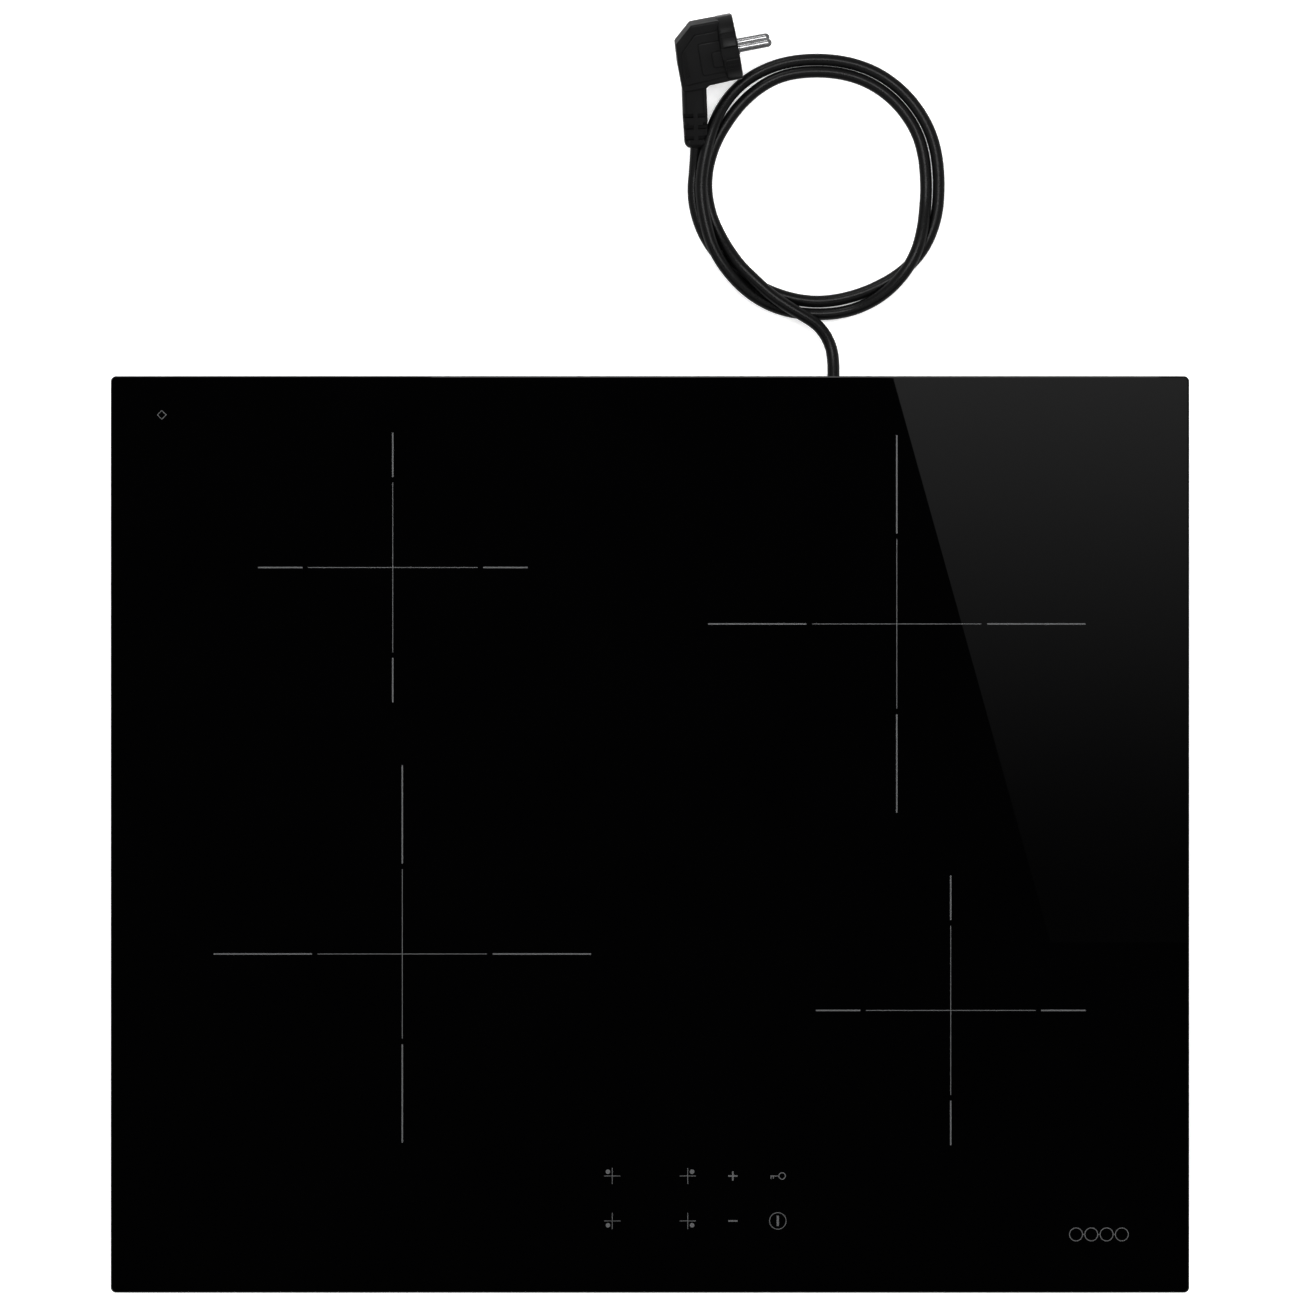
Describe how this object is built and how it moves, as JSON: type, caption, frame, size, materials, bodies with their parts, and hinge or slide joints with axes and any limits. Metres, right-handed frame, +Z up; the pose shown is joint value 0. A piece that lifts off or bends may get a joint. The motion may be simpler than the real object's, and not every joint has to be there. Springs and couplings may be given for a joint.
{
  "type": "built-in induction hob",
  "caption": "Frameless black glass built-in induction hob with marked cooking zones, touch keys and a fitted mains lead that ends in an earthed plug.",
  "frame": {"origin": "middle of the hob's underside, on the surface that the hob and its lead lie on", "axes": "+X to the user's right, +Y to the rear where the lead leaves, +Z up"},
  "size_m": [0.6, 0.7149, 0.053],
  "materials": {
    "black_glass": "polished black glass ceramic",
    "seal_foam": "matt closed-cell foam",
    "glass_adhesive": "satin silicone",
    "zinc_sheet": "zinc-coated steel sheet",
    "frame_steel": "satin black coat on folded steel",
    "aluminium_sheet": "mill finish",
    "heatsink_aluminium": "extruded, plain",
    "coil_former_plastic": "glass-filled, matt",
    "winding_copper": "copper-clad aluminium litz wire",
    "insulation_mica": "matt mica felt",
    "sensor_ceramic": "matt",
    "circuit_board": "green solder mask",
    "carrier_plastic": "matt",
    "choke_core": "matt ferrite",
    "capacitor_case": "satin",
    "fan_plastic": "satin",
    "motor_steel": "plain",
    "display_case": "matt",
    "ribbon_grey": "satin",
    "terminal_plastic": "fine texture",
    "terminal_block_plastic": "satin",
    "screw_steel": "bright zinc plate",
    "clamp_steel": "zinc plate",
    "cord_black": "satin sheath",
    "plug_black": "satin moulding",
    "pin_nickel": "bright nickel"
  },
  "bodies": {
    "hob": {"glass_plate": "black_glass", "edge_seal": "seal_foam", "glass_adhesive": "glass_adhesive", "support_frame": "frame_steel", "base_tray": "zinc_sheet", "coil_plate": "aluminium_sheet", "electronics_carrier": "carrier_plastic", "power_board_left": "circuit_board", "power_board_right": "circuit_board", "heatsink_left": "heatsink_aluminium", "heatsink_right": "heatsink_aluminium", "filter_board": "circuit_board", "filter_choke": "choke_core", "filter_capacitor": "capacitor_case", "fan_housing": "fan_plastic", "fan_motor": "motor_steel", "air_baffle": "carrier_plastic", "touch_carrier": "carrier_plastic", "touch_board": "circuit_board", "display_module": "display_case", "ribbon_cable": "ribbon_grey", "terminal_box": "terminal_plastic", "terminal_hinge_pin": "screw_steel", "terminal_block": "terminal_block_plastic", "cord_clamp": "terminal_plastic", "cord_gland": "cord_black", "cord_lead": "cord_black", "cord_tail": "cord_black", "cord_coil": "cord_black", "plug_body": "plug_black", "plug_pin_upper": "pin_nickel", "plug_pin_lower": "pin_nickel", "coil_former_rear_left": "coil_former_plastic", "winding_rear_left": "winding_copper", "insulation_disc_rear_left": "insulation_mica", "temperature_sensor_rear_left": "sensor_ceramic", "coil_former_front_left": "coil_former_plastic", "winding_front_left": "winding_copper", "insulation_disc_front_left": "insulation_mica", "temperature_sensor_front_left": "sensor_ceramic", "coil_former_rear_right": "coil_former_plastic", "winding_rear_right": "winding_copper", "insulation_disc_rear_right": "insulation_mica", "temperature_sensor_rear_right": "sensor_ceramic", "coil_former_front_right": "coil_former_plastic", "winding_front_right": "winding_copper", "insulation_disc_front_right": "insulation_mica", "temperature_sensor_front_right": "sensor_ceramic", "clamp_screw_front_left": "screw_steel", "clamp_screw_front_right": "screw_steel", "clamp_screw_rear_left": "screw_steel", "clamp_screw_rear_right": "screw_steel"},
    "fan_impeller": {"fan_impeller": "fan_plastic"},
    "terminal_cover": {"terminal_cover": "terminal_plastic"},
    "clamp_front_left": {"clamp_arm_front_left": "clamp_steel"},
    "clamp_front_right": {"clamp_arm_front_right": "clamp_steel"},
    "clamp_rear_left": {"clamp_arm_rear_left": "clamp_steel"},
    "clamp_rear_right": {"clamp_arm_rear_right": "clamp_steel"}
  },
  "joints": [
    {"name": "fan_spin", "type": "hinge", "parent": "hob", "child": "fan_impeller", "pos_m": [0, 0.15, 0.016], "axis": [0, 0, 1], "continuous": true},
    {"name": "terminal_cover_hinge", "type": "hinge", "parent": "hob", "child": "terminal_cover", "pos_m": [0.103, 0.1543, 0.0017], "axis": [-1, 0, 0], "range_deg": [0, 100]},
    {"name": "clamp_swivel_front_left", "type": "hinge", "parent": "hob", "child": "clamp_front_left", "pos_m": [-0.2715, -0.12, 0.007], "axis": [0, 0, 1], "range_deg": [0, 90]},
    {"name": "clamp_swivel_front_right", "type": "hinge", "parent": "hob", "child": "clamp_front_right", "pos_m": [0.2715, -0.12, 0.007], "axis": [0, 0, -1], "range_deg": [0, 90]},
    {"name": "clamp_swivel_rear_left", "type": "hinge", "parent": "hob", "child": "clamp_rear_left", "pos_m": [-0.2715, 0.12, 0.007], "axis": [0, 0, -1], "range_deg": [0, 90]},
    {"name": "clamp_swivel_rear_right", "type": "hinge", "parent": "hob", "child": "clamp_rear_right", "pos_m": [0.2715, 0.12, 0.007], "axis": [0, 0, 1], "range_deg": [0, 90]}
  ]
}
